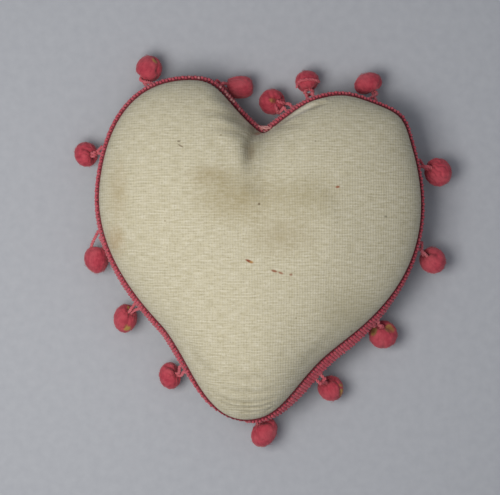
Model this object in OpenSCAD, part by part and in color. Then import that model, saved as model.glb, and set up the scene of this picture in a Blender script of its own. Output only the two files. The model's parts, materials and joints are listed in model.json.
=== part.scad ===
// Heart-shaped pincushion edged with a woven braid and fourteen wool balls.
// It lies on its back. The flat of its underside is at Z 0, the lobes are towards +Y.
// All sizes are in millimetres.

/* [Cushion] */
// Width of the heart across the seam
heart_width = 138; // [100:1:180]
// Length of the heart from the tip to the top of the left lobe
heart_length = 143; // [105:1:190]
// Height of the side seam above the table
seam_height = 21; // [14:0.5:32]
// Rise of the front from the seam to its crown
crown_height = 27; // [12:0.5:45]
// Depth of the flat that the cushion has pressed into its underside
flat_cut = 0.5; // [0.3:0.1:2]

/* [Cover and filling] */
// Thickness of the linen
linen_thickness = 0.55; // [0.3:0.05:1]
// Width of linen turned in along the seam
seam_allowance = 5; // [3:0.5:9]
// Thickness of the cotton of the inner bag
bag_thickness = 0.4; // [0.2:0.05:1]
// Width that the bag's own seam stands inside the turned-in linen
bag_inset = 1.2; // [0.8:0.1:4]
// Gap between two layers that lie against each other
layer_gap = 0.2; // [0.15:0.05:0.6]

/* [Braid] */
// Width of the woven braid
braid_width = 5; // [3:0.1:8]
// Thickness of the braid over its ribs
braid_thickness = 1.5; // [0.8:0.1:2.5]
// Distance from one rib of the braid to the next
rib_pitch = 2.6; // [2.4:0.1:6]
// Depth of the grooves between the ribs
rib_depth = 0.32; // [0.05:0.01:0.6]
// Width of the braid's thinned edge
braid_edge = 0.6; // [0.3:0.1:1.2]
// Gap between the braid and the linen it is sewn to
braid_gap = 0.3; // [0.2:0.05:1]
// Distance of each end of the braid from the bottom of the cleft
braid_end = 4.5; // [3.5:0.1:12]

/* [Hanging loops] */
// Thickness of the cord of a loop
loop_cord = 0.9; // [0.6:0.05:1.1]
// Distance from the foot of a loop to the middle of its ball
loop_length = 9.6; // [8.8:0.1:13]
// Distance between the two feet of a loop
foot_spread = 2.8; // [1.8:0.1:5]
// Gap between the two strands of a loop inside its ball
strand_gap = 0.45; // [0.42:0.01:0.8]
// Gap between a loop's feet and the edge of the braid
foot_gap = 0.45; // [0.4:0.05:0.8]

/* [Wool balls] */
// Diameter of an average ball
ball_diameter = 10.8; // [9:0.1:13]
// Depth of the hollow where the wool is gathered round the loop
hollow_depth = 1.9; // [0.5:0.1:2.2]
// Width of that hollow
hollow_width = 3.6; // [3:0.1:5]
// Depth of the dimple on the far side of a ball
dimple_depth = 0.5; // [0:0.1:1]
// Diameter of the wadding core
core_diameter = 5.2; // [3.5:0.1:6]
// Gap round the core and round the strands that enter the ball
ball_gap = 0.12; // [0.05:0.01:0.2]

/* [Hidden] */

$fn = 48;
linen_colour = "#c9c3a5";
calico_colour = "#e2dcc8";
filling_colour = "#b08f5e";
braid_colour = "#b23a4a";
loop_colour = "#b8404f";
wool_colour = "#c04b58";
core_colour = "#b3a35c";
thread_colour = "#d9c3b4";

// Outline of the seam, from the bottom of the cleft over the left lobe and round.
// Each row is one anchor: across as a share of the width, along as a share of the length,
// heading of the seam there in degrees, and its handles before and after as shares of the mean size.
ANCHORS = [
    [ 0.000,  0.354, 132, 0.000, 0.110],
    [-0.215,  0.501, 180, 0.110, 0.185],
    [-0.500,  0.160, 268, 0.190, 0.150],
    [-0.298, -0.245, 304, 0.150, 0.190],
    [-0.058, -0.499, 358, 0.075, 0.075],
    [ 0.230, -0.290, 405, 0.170, 0.140],
    [ 0.492,  0.120, 450, 0.150, 0.210],
    [ 0.240,  0.455, 538, 0.170, 0.100],
    [ 0.000,  0.354, 575, 0.120, 0.000]
];
mean_size = (heart_width + heart_length) / 2;
curve_steps = 24;

// How the braid leans: share of the way round, and degrees that its face is turned down.
// At 0 it lies flat and face up, at 90 it stands edge up against the side.
LEANS = [
    [0.00, 78], [0.06, 82], [0.24, 82], [0.33, 72], [0.42, 74], [0.47, 92], [0.505, 90],
    [0.53, 70], [0.56, 40], [0.63, 36], [0.68, 62], [0.73, 76], [0.80, 90], [0.90, 88], [0.95, 78],
    [1.00, 76]
];

// One row for each ball: share of the way round the seam where its loop is sewn on,
// how far it lies to the side of its loop's feet, how far out from the seam,
// its width and its height as shares of the average ball, and its loop as a share of the average.
BALLS = [
    [0.1228, -2.5,  8.7, 1.00, 0.97, 1.00],
    [0.0590, -8.1,  3.6, 0.96, 1.08, 1.12],
    [0.9678,  4.0,  7.4, 0.97, 0.92, 1.00],
    [0.9452, -1.0,  7.9, 0.98, 0.92, 1.00],
    [0.8868,  4.5,  7.0, 1.02, 0.98, 1.00],
    [0.8117, -5.2,  7.8, 1.04, 0.96, 1.02],
    [0.7352, -3.6,  9.6, 0.99, 0.95, 1.00],
    [0.6533, -1.3, 10.4, 1.04, 1.00, 1.00],
    [0.5804,  0.3, 10.2, 0.97, 0.95, 1.00],
    [0.5058,  4.7,  7.2, 0.98, 1.06, 1.00],
    [0.4238, -0.3,  8.3, 0.88, 0.92, 1.00],
    [0.3508,  1.4, 10.2, 0.95, 0.96, 1.00],
    [0.2763,  9.4,  6.8, 0.97, 0.99, 1.20],
    [0.1983,  3.4,  7.7, 0.90, 0.90, 1.00]
];

// A point on the curve between two anchors.
function anchor_xy(a) = [a[0] * heart_width, a[1] * heart_length];
function handle(a, reach) = mean_size * reach * [cos(a[2]), sin(a[2])];
function between(a, b, t) =
    let (p = anchor_xy(a), s = anchor_xy(b), q = p + handle(a, a[4]), r = s - handle(b, b[3]))
    p * pow(1 - t, 3) + 3 * q * t * pow(1 - t, 2) + 3 * r * t * t * (1 - t) + s * pow(t, 3);

// The seam as a fine run of points, with the distance walked to each.
RUN = [
    for (i = [0 : len(ANCHORS) - 2], j = [0 : curve_steps - 1])
        between(ANCHORS[i], ANCHORS[i + 1], j / curve_steps),
    anchor_xy(ANCHORS[len(ANCHORS) - 1])
];
WALKED = [
    for (i = 0, d = 0; i < len(RUN); i = i + 1, d = i < len(RUN) ? d + norm(RUN[i] - RUN[i - 1]) : d) d
];
seam_length = WALKED[len(RUN) - 1];
SEAM_X = [for (i = [0 : len(RUN) - 1]) [WALKED[i], RUN[i][0]]];
SEAM_Y = [for (i = [0 : len(RUN) - 1]) [WALKED[i], RUN[i][1]]];

// Place, direction and outward direction of the seam after walking the distance s from the cleft.
look_ahead = 1;
function seam_at(s) = [lookup(s, SEAM_X), lookup(s, SEAM_Y)];
function along_at(s) =
    let (v = seam_at(s + look_ahead) - seam_at(s - look_ahead)) v / norm(v);
function outward_at(s) = let (v = along_at(s)) [v[1], -v[0]];
function lean_at(s) = lookup(s / seam_length, LEANS);

// The cushion's surfaces are built of rings that shrink from the seam towards the middle.
sectors = 60;
middle = [0, 0.03 * heart_length];
SPOKES = [for (i = [0 : sectors - 1]) seam_at(seam_length * i / sectors) - middle];
// The rings grow rounder towards the crown, so the valley under the cleft runs out.
rounding = 0.75;
round_radius = 0.43 * mean_size;
front_bulge = 2.5;
front_fullness = 0.54;
back_bulge = 3;
back_fullness = 0.5;
back_depth = seam_height + flat_cut;
flat_level = pow(1 - pow(seam_height / back_depth, 1 / back_fullness), 1 / back_bulge);
FRONT_LEVELS = [1, 0.982, 0.92, 0.79, 0.58, 0.3];
BACK_LEVELS = [1, 0.982, 0.92, 0.8, 0.62, flat_level];
seam_slit = 0.1;

function front_z(k) = seam_height + crown_height * pow(1 - pow(k, front_bulge), front_fullness);
function back_z(k) =
    k <= flat_level ? 0 : seam_height - back_depth * pow(1 - pow(k, back_bulge), back_fullness);

// One ring at the level k, drawn in by some distance, at the height z.
function ring(k, inward, z) = [
    for (v = SPOKES)
        let (r = norm(v), reach = k * (r + (round_radius - r) * rounding * (1 - k)) - inward)
        [middle[0] + v[0] / r * reach, middle[1] + v[1] / r * reach, z]
];
function pole(z) = [middle[0], middle[1], z];

// A layer lies a distance under the outside, measured square to the surface.
slope_step = 0.01;
function square_to(rise) =
    let (run = 2 * slope_step * round_radius, n = norm([run, rise])) [-rise / n, run / n];
function front_square(k) = square_to(front_z(min(1, k + slope_step)) - front_z(k - slope_step));
function back_square(k) =
    k <= flat_level ? [0, 1] : square_to(back_z(k - slope_step) - back_z(min(1, k + slope_step)));
function front_rings(levels, under) = [
    for (k = levels) let (n = front_square(k)) ring(k, under * n[0], front_z(k) - under * n[1])
];
function back_rings(levels, under) = [
    for (k = levels) let (n = back_square(k)) ring(k, under * n[0], back_z(k) + under * n[1])
];
function from_second(list) = [for (i = [1 : len(list) - 1]) list[i]];
function turned(list) = [for (i = [len(list) - 1 : -1 : 0]) list[i]];
function joined(lists) = [for (l = lists, e = l) e];

under_linen = linen_thickness + layer_gap;
under_bag = under_linen + bag_thickness + layer_gap;
bag_seam = seam_allowance + bag_inset;
stuffing_seam = bag_seam + bag_thickness + layer_gap;
BACK_INNER = from_second(BACK_LEVELS);
FRONT_INNER = from_second(FRONT_LEVELS);

// Closed skin over a run of rings between two poles. Each four-sided patch is split from the corner
// of its wider ring, so that layers that lie on each other are split alike.
function reach_of(p) = norm([p[0], p[1]] - middle);
module skin_between(first, rings, last) {
    n = len(rings[0]);
    points = concat([first], joined(rings), [last]);
    end = len(points) - 1;
    faces = concat(
        [for (i = [0 : n - 1]) [0, 1 + (i + 1) % n, 1 + i]],
        [
            for (r = [0 : len(rings) - 2], i = [0 : n - 1], half = [0, 1])
                let (
                    a = 1 + r * n + i,
                    b = 1 + r * n + (i + 1) % n,
                    narrowing = reach_of(points[a]) > reach_of(points[a + n])
                )
                narrowing
                    ? (half == 0 ? [a, b, b + n] : [a, b + n, a + n])
                    : (half == 0 ? [a, b, a + n] : [b, b + n, a + n])
        ],
        [for (i = [0 : n - 1]) [end, end - n + i, end - n + (i + 1) % n]]
    );
    polyhedron(points, faces);
}

module front_cover() {
    rim = seam_height + seam_slit / 2;
    color(linen_colour)
        skin_between(
            pole(front_z(0)),
            concat(
                turned(front_rings(FRONT_INNER, 0)),
                [
                    ring(1, 0, rim),
                    ring(1, seam_allowance, rim),
                    ring(1, seam_allowance, rim + linen_thickness),
                    ring(1, 2 * linen_thickness, rim + linen_thickness)
                ],
                front_rings(FRONT_INNER, linen_thickness)
            ),
            pole(front_z(0) - linen_thickness)
        );
}

module back_cover() {
    rim = seam_height - seam_slit / 2;
    color(linen_colour)
        skin_between(
            pole(linen_thickness),
            concat(
                turned(back_rings(BACK_INNER, linen_thickness)),
                [
                    ring(1, 2 * linen_thickness, rim - linen_thickness),
                    ring(1, seam_allowance, rim - linen_thickness),
                    ring(1, seam_allowance, rim),
                    ring(1, 0, rim)
                ],
                back_rings(BACK_INNER, 0)
            ),
            pole(0)
        );
}

module bag_front() {
    rim = seam_height + seam_slit / 2;
    color(calico_colour)
        skin_between(
            pole(front_z(0) - under_linen),
            concat(
                turned(front_rings(FRONT_INNER, under_linen)),
                [
                    ring(1, bag_seam, rim),
                    ring(1, bag_seam + bag_thickness, rim)
                ],
                front_rings(FRONT_INNER, under_linen + bag_thickness)
            ),
            pole(front_z(0) - under_linen - bag_thickness)
        );
}

module bag_back() {
    rim = seam_height - seam_slit / 2;
    color(calico_colour)
        skin_between(
            pole(under_linen + bag_thickness),
            concat(
                turned(back_rings(BACK_INNER, under_linen + bag_thickness)),
                [
                    ring(1, bag_seam + bag_thickness, rim),
                    ring(1, bag_seam, rim)
                ],
                back_rings(BACK_INNER, under_linen)
            ),
            pole(under_linen)
        );
}

module stuffing() {
    color(filling_colour)
        skin_between(
            pole(front_z(0) - under_bag),
            concat(
                turned(front_rings(FRONT_INNER, under_bag)),
                [ring(1, stuffing_seam, seam_height)],
                back_rings(BACK_INNER, under_bag)
            ),
            pole(under_bag)
        );
}

// Section of the braid: its inner edge is sewn along the seam and its width runs down and outward.
function braid_inner(s) = braid_gap + braid_thickness / 2 * sin(lean_at(s));
function braid_spot(s, across, up) =
    let (
        lean = lean_at(s),
        out = braid_inner(s) + across * cos(lean) + up * sin(lean),
        z = seam_height - across * sin(lean) + up * cos(lean)
    )
    concat(seam_at(s) + out * outward_at(s), [z]);
function braid_ring(s, sunk) =
    let (side = braid_thickness / 2 - sunk)
    [
        braid_spot(s, 0, 0),
        braid_spot(s, braid_edge, side),
        braid_spot(s, braid_width - braid_edge, side),
        braid_spot(s, braid_width - sunk, 0),
        braid_spot(s, braid_width - braid_edge, -side),
        braid_spot(s, braid_edge, -side)
    ];
braid_length = seam_length - 2 * braid_end;
ribs = round(braid_length / rib_pitch);

module fringe_braid() {
    rings = [
        for (i = [0 : 2 * ribs])
            braid_ring(braid_end + braid_length * i / (2 * ribs), i % 2 == 0 ? rib_depth : 0)
    ];
    n = len(rings[0]);
    last = (len(rings) - 1) * n;
    faces = concat(
        [for (i = [1 : n - 2]) [0, i, i + 1]],
        [
            for (r = [0 : len(rings) - 2], i = [0 : n - 1], half = [0, 1])
                let (a = r * n + i, b = r * n + (i + 1) % n)
                half == 0 ? [a, b + n, b] : [a, a + n, b + n]
        ],
        [for (i = [1 : n - 2]) [last, last + i + 1, last + i]]
    );
    color(braid_colour)
        polyhedron(joined(rings), faces);
}

// Thread wound round the two ends of the braid where they meet in the cleft.
tack_radius = 1.15;
tack_thread = 0.5;
tack_turns = 4;
tack_reach = 3.1;
module braid_tack() {
    corner = seam_at(0);
    color(thread_colour)
        translate([corner[0], corner[1] + tack_reach, seam_height]) {
            translate([0, 0, -tack_turns * 2 * tack_thread])
                cylinder(h = (tack_turns + 0.5) * 2 * tack_thread, r = tack_radius);
            for (i = [0 : tack_turns - 1])
                translate([0, 0, -(i + 0.4) * 2 * tack_thread])
                    rotate_extrude()
                        translate([tack_radius, 0])
                            circle(r = tack_thread * 0.8);
        }
}

// Where the loop of ball i is sewn on, and where the ball hangs.
foot_tip = loop_cord * 0.6;
foot_reach = braid_width + foot_gap + foot_tip;
function sewn_at(i) = BALLS[i][0] * seam_length;
function foot_of(i) = braid_spot(sewn_at(i), foot_reach, 0);
function foot_out(i) =
    let (s = sewn_at(i)) braid_inner(s) + foot_reach * cos(lean_at(s));
function loop_of(i) = loop_length * BALLS[i][5];
function swing_of(i) = sqrt(pow(loop_of(i), 2) - pow(BALLS[i][1], 2));
function hang_of(i) = sqrt(pow(swing_of(i), 2) - pow(BALLS[i][2] - foot_out(i), 2));
function ball_at(i) =
    let (s = sewn_at(i))
    concat(
        seam_at(s) + BALLS[i][2] * outward_at(s) + BALLS[i][1] * along_at(s),
        [foot_of(i)[2] - hang_of(i)]
    );
function ball_radius(i) = ball_diameter / 2 * BALLS[i][3];
function ball_half(i) = ball_diameter / 2 * BALLS[i][4];
function hollow_floor(i) = ball_half(i) - hollow_depth;
bend_radius = (loop_cord + strand_gap) / 2;
cord_hole = bend_radius + loop_cord / 2 + ball_gap;

// Turns what is drawn upright so that it points from the ball i to its loop's feet.
module facing_loop(i) {
    v = foot_of(i) - ball_at(i);
    translate(ball_at(i))
        rotate([0, acos(v[2] / norm(v)), atan2(v[1], v[0])])
            children();
}

// The loop lies in one plane. A point of it is given across the plane and towards the feet,
// from the middle of the ball: down one leg, round a bend inside the core and up the other leg.
leg_steps = 4;
bend_steps = 6;
leg_slack = 0.35;
function leg_point(foot, neck, t) =
    let (pull = norm(foot - neck) * leg_slack, a = foot - [0, pull], b = neck + [0, pull])
    foot * pow(1 - t, 3) + 3 * a * t * pow(1 - t, 2) + 3 * b * t * t * (1 - t) + neck * pow(t, 3);
function leg(foot, neck) = [for (j = [0 : leg_steps]) leg_point(foot, neck, j / leg_steps)];
module loop(i) {
    foot = foot_of(i);
    inside = ball_at(i);
    aim = (foot - inside) / norm(foot - inside);
    side = concat(along_at(sewn_at(i)), [0]);
    square_side = side - (side * aim) * aim;
    wide = square_side / norm(square_side);
    face = cross(wide, aim);
    lean_of_feet = [side * wide, side * aim];
    feet = [for (way = [1, -1]) [0, norm(foot - inside)] + way * foot_spread / 2 * lean_of_feet];
    neck_height = hollow_floor(i);
    bend = [
        for (j = [0 : bend_steps])
            let (a = 180 * j / bend_steps) bend_radius * [cos(a), -sin(a)]
    ];
    flat_path = concat(
        leg(feet[0], [bend_radius, neck_height]),
        bend,
        turned(leg(feet[1], [-bend_radius, neck_height]))
    );
    count = len(flat_path);
    path = [for (p = flat_path) inside + p[0] * wide + p[1] * aim];
    rings = [
        for (j = [0 : count - 1])
            let (
                d = path[min(j + 1, count - 1)] - path[max(j - 1, 0)],
                away = cross(face, d / norm(d))
            )
            [for (k = [0 : 5]) path[j] + loop_cord / 2 * (cos(60 * k) * away + sin(60 * k) * face)]
    ];
    // Each end is rounded by one narrow ring past the foot.
    tips = [
        for (j = [0, count - 1])
            let (d = path[j] - path[j == 0 ? 1 : j - 1], push = foot_tip * d / norm(d))
            [for (p = rings[j]) path[j] + push + 0.5 * (p - path[j])]
    ];
    all_rings = concat([tips[0]], rings, [tips[1]]);
    last = (len(all_rings) - 1) * 6;
    faces = concat(
        [for (k = [1 : 4]) [0, k + 1, k]],
        [
            for (r = [0 : len(all_rings) - 2], k = [0 : 5], half = [0, 1])
                let (a = r * 6 + k, b = r * 6 + (k + 1) % 6)
                half == 0 ? [a, b, b + 6] : [a, b + 6, a + 6]
        ],
        [for (k = [1 : 4]) [last, last + k, last + k + 1]]
    );
    color(loop_colour)
        polyhedron(joined(all_rings), faces);
}

// Wadding core, matted on to the bend of its loop.
module core(i) {
    pocket = bend_radius + loop_cord / 2 + ball_gap;
    color(core_colour)
        facing_loop(i)
            difference() {
                sphere(d = core_diameter);
                translate([0, 0, -pocket])
                    cylinder(h = core_diameter, r = cord_hole);
            }
}

// Half outline of a ball: a full round, with a deep hollow at the top and a dimple below.
ball_steps = 18;
function ball_outline(i) = [
    for (j = [0 : ball_steps])
        let (
            turn = 180 * j / ball_steps,
            out = j == 0 || j == ball_steps ? 0 : ball_radius(i) * sin(turn),
            fade = exp(-pow(2 * out / hollow_width, 2))
        )
        [out, ball_half(i) * cos(turn) - (turn < 90 ? hollow_depth : -dimple_depth) * fade]
];

// Wool wound over the core and drawn in round the cord.
module ball(i) {
    color(wool_colour)
        facing_loop(i)
            difference() {
                rotate_extrude()
                    polygon(ball_outline(i));
                sphere(d = core_diameter + 2 * ball_gap);
                cylinder(h = ball_diameter, r = cord_hole);
            }
}

front_cover();
back_cover();
bag_front();
bag_back();
stuffing();
fringe_braid();
braid_tack();
loop(0);  // loop_01
loop(1);  // loop_02
loop(2);  // loop_03
loop(3);  // loop_04
loop(4);  // loop_05
loop(5);  // loop_06
loop(6);  // loop_07
loop(7);  // loop_08
loop(8);  // loop_09
loop(9);  // loop_10
loop(10);  // loop_11
loop(11);  // loop_12
loop(12);  // loop_13
loop(13);  // loop_14
core(0);  // core_01
core(1);  // core_02
core(2);  // core_03
core(3);  // core_04
core(4);  // core_05
core(5);  // core_06
core(6);  // core_07
core(7);  // core_08
core(8);  // core_09
core(9);  // core_10
core(10);  // core_11
core(11);  // core_12
core(12);  // core_13
core(13);  // core_14
ball(0);  // ball_01
ball(1);  // ball_02
ball(2);  // ball_03
ball(3);  // ball_04
ball(4);  // ball_05
ball(5);  // ball_06
ball(6);  // ball_07
ball(7);  // ball_08
ball(8);  // ball_09
ball(9);  // ball_10
ball(10);  // ball_11
ball(11);  // ball_12
ball(12);  // ball_13
ball(13);  // ball_14
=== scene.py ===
"""A heart-shaped linen pincushion, edged with a ribbed braid and fourteen hanging wool balls."""
import json
import math
import random

import bpy
import numpy as np
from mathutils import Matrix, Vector, noise


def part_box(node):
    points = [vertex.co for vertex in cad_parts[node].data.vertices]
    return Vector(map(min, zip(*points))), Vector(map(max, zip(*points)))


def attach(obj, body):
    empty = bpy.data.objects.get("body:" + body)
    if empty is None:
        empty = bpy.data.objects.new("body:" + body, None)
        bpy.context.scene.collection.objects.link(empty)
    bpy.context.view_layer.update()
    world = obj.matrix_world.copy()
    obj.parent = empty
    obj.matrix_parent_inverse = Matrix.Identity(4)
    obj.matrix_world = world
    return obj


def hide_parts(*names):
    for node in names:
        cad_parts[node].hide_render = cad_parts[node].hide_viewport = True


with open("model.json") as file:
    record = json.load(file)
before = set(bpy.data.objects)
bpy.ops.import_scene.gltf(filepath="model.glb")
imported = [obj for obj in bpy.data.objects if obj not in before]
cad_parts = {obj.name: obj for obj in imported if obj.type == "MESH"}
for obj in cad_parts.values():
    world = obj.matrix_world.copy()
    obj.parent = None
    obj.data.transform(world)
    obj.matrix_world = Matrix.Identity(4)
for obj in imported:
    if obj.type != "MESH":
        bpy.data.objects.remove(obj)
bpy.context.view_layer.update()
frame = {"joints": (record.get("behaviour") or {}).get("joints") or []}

# Camera
# It hangs straight over the cushion, as on a copy stand, with the tip of the heart towards the
# bottom of the picture. At the height of the side seam the picture is 210 mm wide.
bpy.ops.object.select_all(action="DESELECT")
bpy.ops.object.camera_add(location=(-0.0050, 0.00105, 1.1877), rotation=(0, 0, 0))
camera = bpy.context.object
camera.name = "copy_stand_camera"
camera.data.lens, camera.data.sensor_width = 200, 36
camera.data.clip_start, camera.data.clip_end = 0.01, 20
bpy.context.scene.camera = camera

# Table and studio light
# A plain pale table top, and a broad soft lamp close above the left half with a weak even
# fill, so that every flank is darker than the crown and the right one is the darkest.


def linear(code):
    """An sRGB hex colour as the linear colour that a shader takes."""
    parts = [int(code[i:i + 2], 16) / 255 for i in (1, 3, 5)]
    return [p / 12.92 if p <= 0.04045 else ((p + 0.055) / 1.055) ** 2.4 for p in parts] + [1]


def new_material(name):
    """An empty material with its shader, which stands at the end of the nodes."""
    material = bpy.data.materials.new(name)
    material.use_nodes = True
    return material, material.node_tree.nodes["Principled BSDF"]


def feed(material, node, feeds):
    """Sets a node's inputs. Each takes a value, a hex colour, an output, or the result of a node."""
    for socket, value in feeds.items():
        if isinstance(value, str):
            value = linear(value)
        if isinstance(value, bpy.types.Node):
            value = next(output for output in value.outputs if output.enabled)
        if isinstance(value, bpy.types.NodeSocket):
            material.node_tree.links.new(value, node.inputs[socket])
        else:
            node.inputs[socket].default_value = value


def add_node(material, kind, feeds, **settings):
    """Adds one node with its settings, and sets its inputs."""
    made = material.node_tree.nodes.new("ShaderNode" + kind)
    for name, value in settings.items():
        setattr(made, name, value)
    feed(material, made, feeds)
    return made


bpy.ops.object.select_all(action="DESELECT")
bpy.ops.mesh.primitive_plane_add(size=2.4, location=(0, 0, -0.0001))
table_top = bpy.context.object
table_top.name = "table_top"
bpy.ops.object.transform_apply(location=True, rotation=True, scale=True)
# Matt laminate: one even pale cool grey, with a faint mottle that keeps it from looking painted.
laminate, shader = new_material("matt_laminate")
place = add_node(laminate, "TexCoord", {})
mottle = add_node(laminate, "TexNoise", {"Vector": place.outputs["Object"], "Scale": 260.0, "Detail": 3.0})
tone = add_node(laminate, "Mix", {0: mottle, 6: "#a9adb6", 7: "#b7bbc3"}, data_type="RGBA")
feed(laminate, shader, {"Base Color": tone, "Roughness": 0.85})
table_top.data.materials.append(laminate)

world = bpy.data.worlds.new("studio_fill")
bpy.context.scene.world = world
world.use_nodes = True
world.node_tree.nodes["Background"].inputs["Color"].default_value = linear("#eef1f7")
world.node_tree.nodes["Background"].inputs["Strength"].default_value = 0.30
for name, spot, size, power, tint in [
    ("near_lamp", (-0.18, -0.05, 0.47), 0.26, 1.62, "#fffaf2"),
    ("overhead_fill", (-0.1, -0.1, 1.2), 1.0, 0.5, "#f6f7ff"),
]:
    bpy.ops.object.select_all(action="DESELECT")
    bpy.ops.object.light_add(type="AREA", location=spot)
    lamp = bpy.context.object
    lamp.name = name
    lamp.rotation_mode = "QUATERNION"
    lamp.rotation_quaternion = Vector(spot).to_track_quat("Z", "Y")
    lamp.data.size, lamp.data.energy, lamp.data.color = size, power, linear(tint)[:3]
    lamp.visible_camera = False

# Linen cover
# Two hearts of coarse unbleached linen, sewn together inside out, turned and stuffed hard.
# The cloth is drawn in at the cleft and at the tip, where it lies in small folds.
heart_width, heart_length, seam_height, crown_height = 136.0, 142.5, 21.0, 27.0
mean_size = (heart_width + heart_length) / 2


def run_along(line):
    """How far each point of a line lies along it."""
    return np.concatenate([[0], np.cumsum(np.linalg.norm(np.diff(line, axis=0), axis=1))])


# Each anchor of the seam: its place as shares of the width and the length, the way the seam runs
# there in degrees, and how far it is drawn that way before and after, in shares of the mean size.
seam_anchors = [
    (0.005, 0.340, 145, 0.000, 0.125), (-0.195, 0.500, 176, 0.075, 0.220),
    (-0.500, 0.200, 263, 0.145, 0.235), (-0.295, -0.240, 305, 0.045, 0.150),
    (-0.045, -0.500, 359, 0.125, 0.105), (0.200, -0.310, 401, 0.130, 0.135),
    (0.465, 0.295, 466, 0.390, 0.115), (0.305, 0.445, 520, 0.145, 0.135),
    (0.005, 0.340, 574, 0.070, 0.000),
]
seam = []
for here, there in zip(seam_anchors, seam_anchors[1:]):
    start, stop = (np.array([n[0] * heart_width, n[1] * heart_length]) for n in (here, there))
    ways = [np.array([math.cos(a), math.sin(a)]) for a in np.radians([here[2], there[2]])]
    leave = start + mean_size * here[4] * ways[0]
    arrive = stop - mean_size * there[3] * ways[1]
    for t in np.arange(24) / 24:
        seam.append(start * (1 - t) ** 3 + 3 * leave * t * (1 - t) ** 2
                    + 3 * arrive * t * t * (1 - t) + stop * t ** 3)
seam.append(seam[0])
seam = np.array(seam)
walked = run_along(seam)
seam_length = walked[-1]
middle = np.array([0, 0.03 * heart_length])


def seam_at(s):
    """Place on the seam after walking s mm from the bottom of the cleft over the left lobe."""
    return np.array([np.interp(s, walked, seam[:, 0]), np.interp(s, walked, seam[:, 1])])


def outward_at(s):
    """The way straight out from the seam there, in plan."""
    step = seam_at(min(s + 1, seam_length)) - seam_at(max(s - 1, 0))
    return np.array([step[1], -step[0]]) / np.linalg.norm(step)


# Just left of the tip the linen bags out over the braid, which is tucked in and down under it.
bag_place, bag_reach, bagged_out, tucked_down = -12.5, 7.5, 0.75, 1.2


def overhang(spot):
    """How strongly the linen bags out over the braid at a place, from 0 to 1."""
    return math.exp(-((spot[0] - bag_place) / bag_reach) ** 4) if spot[1] < -0.4 * heart_length else 0.0


# The seam as a reach in each direction from the middle.
bearing = np.unwrap(np.arctan2(seam[:, 1] - middle[1], seam[:, 0] - middle[0]))
seam_reach = np.linalg.norm(seam - middle, axis=1)
if bearing[-1] < bearing[0]:
    bearing, seam_reach = bearing[::-1], seam_reach[::-1]
# How full and how round the crown and the underside are. The stuffing would sink the underside
# a little through the table, which presses it flat, and it is lifted near the tip.
crown_full, crown_round, under_full, under_round = 2.5, 0.54, 3, 0.5
sunk, tip_lift, tip_bearing = 0.5, 0.12, math.radians(-95)
round_reach, rounding = 0.43 * mean_size, 0.75


def cloth_point(angle, k, front):
    """The stuffed cloth at a share k of the reach. Its rings grow rounder towards the crown."""
    turn = bearing[0] + (angle - bearing[0]) % (2 * math.pi)
    edge = np.interp(turn, bearing, seam_reach)
    reach = k * (edge + (round_reach - edge) * rounding * (1 - k))
    if front:
        z = seam_height + crown_height * (1 - k ** crown_full) ** crown_round
    else:
        near_tip = max(0.0, math.cos(angle - tip_bearing)) ** 12
        z = seam_height - (seam_height + sunk) * (1 - k ** under_full) ** (under_round + tip_lift * near_tip)
    return [middle[0] + math.cos(angle) * reach, middle[1] + math.sin(angle) * reach, max(z, 0.0)]


def profile_levels(count, start, front):
    """Shares of the reach that lie evenly along the curve of the cloth from start to the seam."""
    fine = start + (1 - start) * (1 - (1 - np.linspace(0, 1, 4000)) ** 3)
    line = np.array([cloth_point(0.3, k, front) for k in fine])
    run = run_along(line)
    return np.interp(np.linspace(0, run[-1], count + 1), run, fine)[1:]


# Each panel is meshed as a square patch in the middle with rounds of mesh out to the seam, so
# that no point of the cloth is gathered to a pole. The patch has soft corners and round sides.
patch, rounds, patch_share = 32, 15, 0.5
square_size, inner_round = 0.86, 0.4
around = 4 * patch


def panel_mesh(front):
    """The points and faces of one panel, and the points of its rim."""
    points = []
    for row in range(patch + 1):
        for column in range(patch + 1):
            u, v = 2 * column / patch - 1, 2 * row / patch - 1
            m = max(abs(u), abs(v))
            if m == 0:
                angle = 0
            elif abs(u) >= abs(v):
                angle = math.pi / 4 * v / u + (math.pi if u < 0 else 0)
            else:
                angle = math.pi / 2 - math.pi / 4 * u / v + (math.pi if v < 0 else 0)
            square = np.array([u, v]) * square_size * (1 - m)
            ring = m * np.array([math.cos(angle), math.sin(angle)]) * (m + (1 - m) * inner_round)
            spot = patch_share * (square + ring)
            points.append(cloth_point(math.atan2(spot[1], spot[0]), math.hypot(*spot), front))
    faces = []
    grid = np.arange((patch + 1) ** 2).reshape(patch + 1, patch + 1).tolist()
    for low, high in zip(grid, grid[1:]):
        for column in range(patch):
            faces.append((low[column], low[column + 1], high[column + 1], high[column]))
    # Round the patch: up its right side, back along the top, down the left and along the bottom.
    right, left = [row[-1] for row in grid], [row[0] for row in grid]
    last = right[:-1] + grid[-1][:0:-1] + left[:0:-1] + grid[0][:-1]
    for k in profile_levels(rounds, patch_share, front):
        first = len(points)
        for i in range(around):
            points.append(cloth_point(-math.pi / 4 + 2 * math.pi * i / around, min(k, 1), front))
        ring = list(range(first, first + around))
        for i in range(around):
            j = (i + 1) % around
            faces.append((last[i], ring[i], ring[j], last[j]))
        last = ring
    return np.array(points), faces, last


front_points, front_faces, front_rim = panel_mesh(True)
back_points, back_faces, back_rim = panel_mesh(False)
count = len(front_points)
# The back panel shares the front's points along the seam.
shared = {b: f for b, f in zip(back_rim, front_rim)}
kept = [i for i in range(len(back_points)) if i not in shared]
back_index = {**shared, **{i: count + n for n, i in enumerate(kept)}}
case_points = np.vstack([front_points, back_points[kept]])
case_faces = front_faces + [tuple(back_index[i] for i in face[::-1]) for face in back_faces]


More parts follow.
